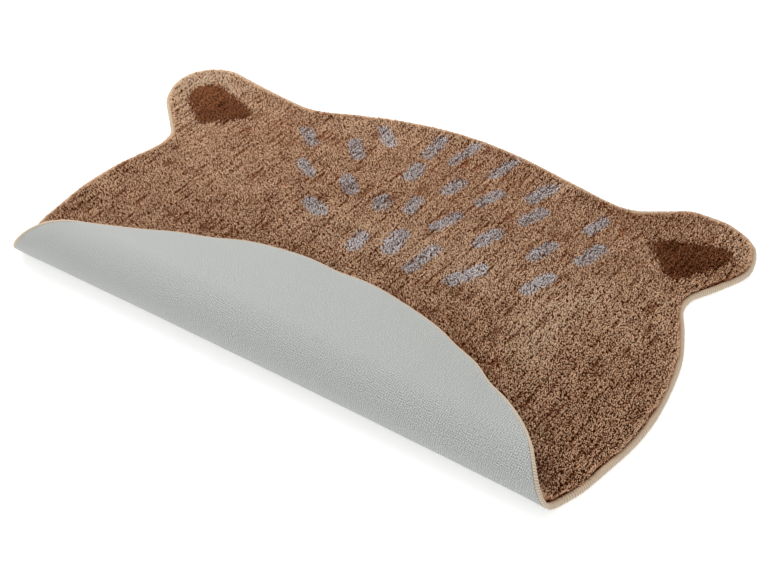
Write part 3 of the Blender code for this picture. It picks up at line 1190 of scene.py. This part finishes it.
def edge_mesh(settings):
    """The whipping yarn as one closed ring, with a rib for each turn that slants by one pitch."""
    turns = round(even_outline(1)[0] / settings.turn_pitch)
    steps = turns * STEPS_PER_TURN
    outline = even_outline(steps)[1]
    corners, outward = section_outward()
    sides = len(corners)
    fullness = np.random.default_rng(EDGE_SEED).uniform(*FULLNESS_RANGE, turns)
    bm = bmesh.new()
    bmesh.ops.create_grid(bm, x_segments=sides, y_segments=steps, size=1.0)
    mesh = finished_mesh(bm, "whipped_edge")
    grid = read_corners(mesh)
    side = np.rint((grid[:, 0] + 1) / 2 * sides).astype(int)
    step = np.rint((grid[:, 1] + 1) / 2 * steps).astype(int)
    shifted = (step + side * STEPS_PER_TURN / sides) % steps
    low = np.floor(shifted).astype(int)
    part = (shifted - low)[:, None]
    at = outline[low] * (1 - part) + outline[(low + 1) % steps] * part
    corner, out = corners[side % sides], outward[side % sides]
    rib = np.array([corner.rib for corner in EDGE_SECTION])[side % sides]
    crest = np.abs(np.sin(pi * (step % STEPS_PER_TURN) / STEPS_PER_TURN))
    crest *= fullness[(step // STEPS_PER_TURN) % turns]
    rise = settings.rib_height * rib * (crest - RIB_SUNK)
    inset = corner[:, 0] + out[:, 0] * rise
    height = np.maximum(corner[:, 1] + out[:, 1] * rise, 0.0)
    along, across = to_pattern(at[:, 0] - inset * at[:, 2], at[:, 1] - inset * at[:, 3])
    pressed = EDGE_PRESSED * np.clip((across - PRESSED_FROM) / (PRESSED_TO - PRESSED_FROM), 0.0, 1.0)
    height -= pressed * np.maximum(height - EDGE_LAP, 0.0)
    used = loop_corners(mesh)
    write_map(mesh, "Whip", np.stack((step[used] / STEPS_PER_TURN, side[used] / sides), axis=-1))
    write_map(mesh, "OFBake", strip_map(step[used] / steps, side[used] / sides))
    mesh.vertices.foreach_set("co", bent(along, across, height).ravel())
    bm = bmesh.new()
    bm.from_mesh(mesh)
    bmesh.ops.remove_doubles(bm, verts=bm.verts[:], dist=SNAP)
    bmesh.ops.recalc_face_normals(bm, faces=bm.faces[:])
    if bm.calc_volume(signed=True) < 0:
        bmesh.ops.reverse_faces(bm, faces=bm.faces[:])
    bm.to_mesh(mesh)
    bm.free()
    mesh.shade_smooth()
    return mesh


def strip_map(along, around):
    """The long ring of four-cornered faces cut into strips, side by side over the bake's picture."""
    middle = along.reshape(-1, 4).mean(axis=1)
    strip = np.repeat(np.floor(middle * BAKE_STRIPS), 4)
    around = STRIP_MARGIN + (1 - 2 * STRIP_MARGIN) * around
    return np.stack((along * BAKE_STRIPS - strip, (strip + around) / BAKE_STRIPS), axis=-1)


def edge_material(settings):
    """Whipped acrylic yarn: rounded turns side by side, with painted shade in the grooves, a matt fuzz,
    and brown fluff with painted shade on its inner side.
    """
    material, tree, shader = new_material("whipped edge yarn")
    place = add_node(tree, "ShaderNodeUVMap", {"uv_map": "Whip"}).outputs["UV"]
    split = add_node(tree, "ShaderNodeSeparateXYZ", feeds={"Vector": place})
    spaced = add_node(
        tree, "ShaderNodeVectorMath", {"operation": "MULTIPLY"}, {0: place, 1: FIBRES_PER_TURN}
    )
    fibres = add_noise(tree, spaced.outputs["Vector"], 1.0, detail=2.0, dimensions="2D").outputs["Fac"]
    # Painted shade in the grooves between turns
    groove = add_range(tree, add_ridges(tree, split.outputs["X"]), RIDGE_RANGE, GROOVE_SHADE_TO_CREST)
    fuzz = add_range(tree, fibres, NOISE_RANGE, FUZZ_TONES)
    shaded = {"Color": (*settings.yarn_colour, 1), "Value": add_math(tree, "MULTIPLY", groove, fuzz)}
    colour = add_node(tree, "ShaderNodeHueSaturation", feeds=shaded).outputs["Color"]
    inner = add_range(tree, split.outputs["Y"], OUTER_TO_INNER, (0.0, MOST_FLUFF_AND_SHADE), "SMOOTHSTEP")
    fluffed_and_shaded = add_mix(tree, inner, colour, settings.fluff_and_shade_colour)
    finish_cloth(
        tree, shader, fluffed_and_shaded, fibres, strength=0.5, depth=0.3 * MM, roughness=0.9, specular=0.2
    )
    feed(tree, shader, {"Sheen Weight": 0.15})
    return material


class RUG_OT_make_edge(bpy.types.Operator):
    """Makes the whipped yarn edge all the way round the rug."""

    bl_idname = "rug.make_edge"
    bl_label = "Make the whipped edge"

    def execute(self, context):
        settings = context.scene.rug_edge
        piece = show(edge_mesh(settings), edge_material(settings))
        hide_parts("edge_binding")
        return {"FINISHED"}


# Stage

SENSOR_WIDTH = 36.0
WHITE = (1.0, 1.0, 1.0, 1.0)
WORLD_STRENGTH = 0.76

# The floor is a wide disc that glows a little, so that it is as pale as the photograph's
FLOOR_RADIUS = 12.0
FLOOR_SIDES = 64
FLOOR_GLOW = 0.4

# The softbox hangs over the left end, a little behind: place and width in metres, and power in watts
SOFTBOX_PLACE = (-1.0, 0.6, 1.7)
SOFTBOX_WIDTH = 1.8
SOFTBOX_POWER = 25.0


class StageSettings(bpy.types.PropertyGroup):
    """Place and lens of the camera, and colour of the floor."""

    azimuth: bpy.props.FloatProperty(
        name="Azimuth",
        description="Angle of the camera to the right of the rug's front",
        default=radians(28.04),
        subtype="ANGLE",
    )
    elevation: bpy.props.FloatProperty(
        name="Elevation",
        description="Angle of the camera above the floor",
        default=radians(44.15),
        subtype="ANGLE",
    )
    distance: length_property(
        "Distance", "Distance from the camera to the point that it looks at", 1.3926
    )
    target: bpy.props.FloatVectorProperty(
        name="Target",
        description="Point that the camera looks at, from the top of the head",
        default=(0.0586, -0.3680, 0.0),
        subtype="TRANSLATION",
    )
    lens: bpy.props.FloatProperty(
        name="Lens",
        description="Focal length in millimetres, on a sensor 36 mm wide",
        default=46.63,
        unit="CAMERA",
    )
    floor_colour: colour_property("Floor", "Colour of the plain floor", "#F4F4F3")


def add_camera(settings):
    """The camera at the photograph's view."""
    data = bpy.data.cameras.new("camera")
    data.sensor_fit = "HORIZONTAL"
    data.sensor_width = SENSOR_WIDTH
    data.lens = settings.lens
    camera = add_object("camera", data)
    target = Vector(settings.target) - Vector((MIDDLE_X, MIDDLE_Y, 0.0))
    away = Vector(
        (
            cos(settings.elevation) * sin(settings.azimuth),
            -cos(settings.elevation) * cos(settings.azimuth),
            sin(settings.elevation),
        )
    )
    camera.location = target + settings.distance * away
    camera.rotation_euler = away.to_track_quat("Z", "Y").to_euler()
    bpy.context.scene.camera = camera


def add_softbox():
    """A square soft light that faces the rug."""
    data = bpy.data.lights.new("overhead softbox", "AREA")
    data.shape = "SQUARE"
    data.size = SOFTBOX_WIDTH
    data.energy = SOFTBOX_POWER
    light = add_object("overhead softbox", data)
    light.location = SOFTBOX_PLACE
    light.rotation_euler = Vector(SOFTBOX_PLACE).to_track_quat("Z", "Y").to_euler()


def add_floor(settings):
    """A plain floor, wide enough to fill the view from any side."""
    bm = bmesh.new()
    bmesh.ops.create_circle(bm, cap_ends=True, segments=FLOOR_SIDES, radius=FLOOR_RADIUS)
    mesh = finished_mesh(bm, "floor")
    material, tree, shader = new_material("plain matt floor")
    feed(tree, shader, {"Base Color": (*settings.floor_colour, 1)})
    feed(tree, shader, {"Roughness": 0.9, "Specular IOR Level": 0.1})
    feed(tree, shader, {"Emission Color": WHITE, "Emission Strength": FLOOR_GLOW})
    mesh.materials.append(material)
    floor = add_object("floor", mesh)


def add_world():
    """Even pale light from all round."""
    world = bpy.data.worlds.new("studio")
    world.use_nodes = True
    background = world.node_tree.nodes["Background"]
    feed(world.node_tree, background, {"Color": WHITE, "Strength": WORLD_STRENGTH})
    bpy.context.scene.world = world


class RUG_OT_make_stage(bpy.types.Operator):
    """Sets up the plain floor, the soft light and the camera."""

    bl_idname = "rug.make_stage"
    bl_label = "Make the stage"

    def execute(self, context):
        settings = context.scene.rug_stage
        add_camera(settings)
        add_floor(settings)
        add_world()
        add_softbox()
        context.scene.view_settings.view_transform = "Standard"
        return {"FINISHED"}


class RUG_PT_pieces(bpy.types.Panel):
    """Lists the pieces of the rug, with their sizes and colours."""

    bl_idname = "RUG_PT_pieces"
    bl_label = "Kids rug"
    bl_space_type = "VIEW_3D"
    bl_region_type = "UI"
    bl_category = "Rug"

    def draw(self, context):
        for operator, group, _ in PIECES:
            box = self.layout.box()
            settings = getattr(context.scene, group)
            for name in settings.__annotations__:
                box.prop(settings, name)
            box.operator(operator.bl_idname)


PIECES = (
    (RUG_OT_make_backing, "rug_backing", BackingSettings),
    (RUG_OT_make_pile, "rug_pile", PileSettings),
    (RUG_OT_make_edge, "rug_edge", EdgeSettings),
    (RUG_OT_make_stage, "rug_stage", StageSettings),
)


def register():
    for operator, name, group in PIECES:
        bpy.utils.register_class(group)
        setattr(bpy.types.Scene, name, bpy.props.PointerProperty(type=group))
        bpy.utils.register_class(operator)
    bpy.utils.register_class(RUG_PT_pieces)


def unregister():
    bpy.utils.unregister_class(RUG_PT_pieces)
    for operator, name, group in reversed(PIECES):
        bpy.utils.unregister_class(operator)
        delattr(bpy.types.Scene, name)
        bpy.utils.unregister_class(group)


def main():
    register()
    bpy.ops.rug.make_backing()
    bpy.ops.rug.make_pile()
    bpy.ops.rug.make_edge()
    bpy.ops.rug.make_stage()


if __name__ == "__main__":
    main()
